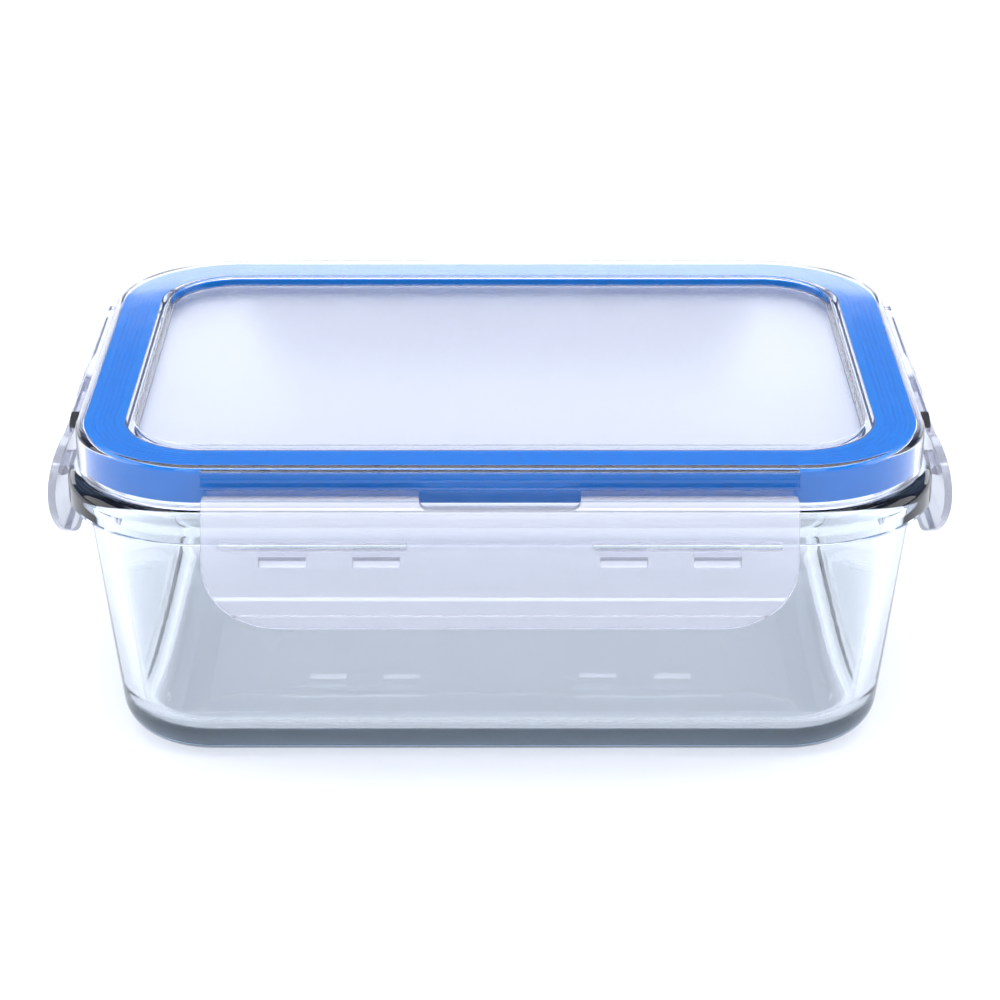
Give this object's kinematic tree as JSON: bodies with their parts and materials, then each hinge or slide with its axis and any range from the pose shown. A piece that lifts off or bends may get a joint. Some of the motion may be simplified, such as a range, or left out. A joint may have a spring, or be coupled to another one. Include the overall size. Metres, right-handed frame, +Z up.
{
  "type": "glass food storage container",
  "caption": "Rectangular clear glass food container with a translucent snap lid, a blue silicone seal and living-hinge locking flaps.",
  "frame": {"origin": "centre of the base, level with the foot ring it stands on", "axes": "+X to the right along the long side, +Y to the back along the short side, +Z up through the lid"},
  "size_m": [0.1978, 0.1478, 0.0724],
  "materials": {
    "glass": "clear pressed borosilicate glass, fire polished",
    "lid_plastic": "natural polypropylene, glossy border and flaps, frosted panel",
    "silicone": "blue silicone, satin"
  },
  "bodies": {
    "dish": {"glass_dish": "glass"},
    "lid_assembly": {"lid": "lid_plastic", "gasket": "silicone", "front_hinge": "lid_plastic", "back_hinge": "lid_plastic", "left_hinge": "lid_plastic", "right_hinge": "lid_plastic"},
    "front_latch": {"front_flap": "lid_plastic", "front_snap_beads": "lid_plastic"},
    "back_latch": {"back_flap": "lid_plastic", "back_snap_beads": "lid_plastic"},
    "left_latch": {"left_flap": "lid_plastic", "left_snap_beads": "lid_plastic"},
    "right_latch": {"right_flap": "lid_plastic", "right_snap_beads": "lid_plastic"}
  },
  "joints": [
    {"name": "lid_lift", "type": "slide", "parent": "dish", "child": "lid_assembly", "axis": [0, 0, 1], "range_m": [0, 0.06], "deforming": ["front_snap_beads", "back_snap_beads", "left_snap_beads", "right_snap_beads"]},
    {"name": "front_flap_hinge", "type": "hinge", "parent": "lid_assembly", "child": "front_latch", "pos_m": [0, -0.06813, 0.0673], "axis": [-1, 0, 0], "range_deg": [0, 120], "deforming": ["front_hinge"]},
    {"name": "back_flap_hinge", "type": "hinge", "parent": "lid_assembly", "child": "back_latch", "pos_m": [0, 0.06813, 0.0673], "axis": [1, 0, 0], "range_deg": [0, 120], "deforming": ["back_hinge"]},
    {"name": "left_flap_hinge", "type": "hinge", "parent": "lid_assembly", "child": "left_latch", "pos_m": [-0.09312, 0, 0.0673], "axis": [0, 1, 0], "range_deg": [0, 120], "deforming": ["left_hinge"]},
    {"name": "right_flap_hinge", "type": "hinge", "parent": "lid_assembly", "child": "right_latch", "pos_m": [0.09312, 0, 0.0673], "axis": [0, -1, 0], "range_deg": [0, 120], "deforming": ["right_hinge"]}
  ]
}
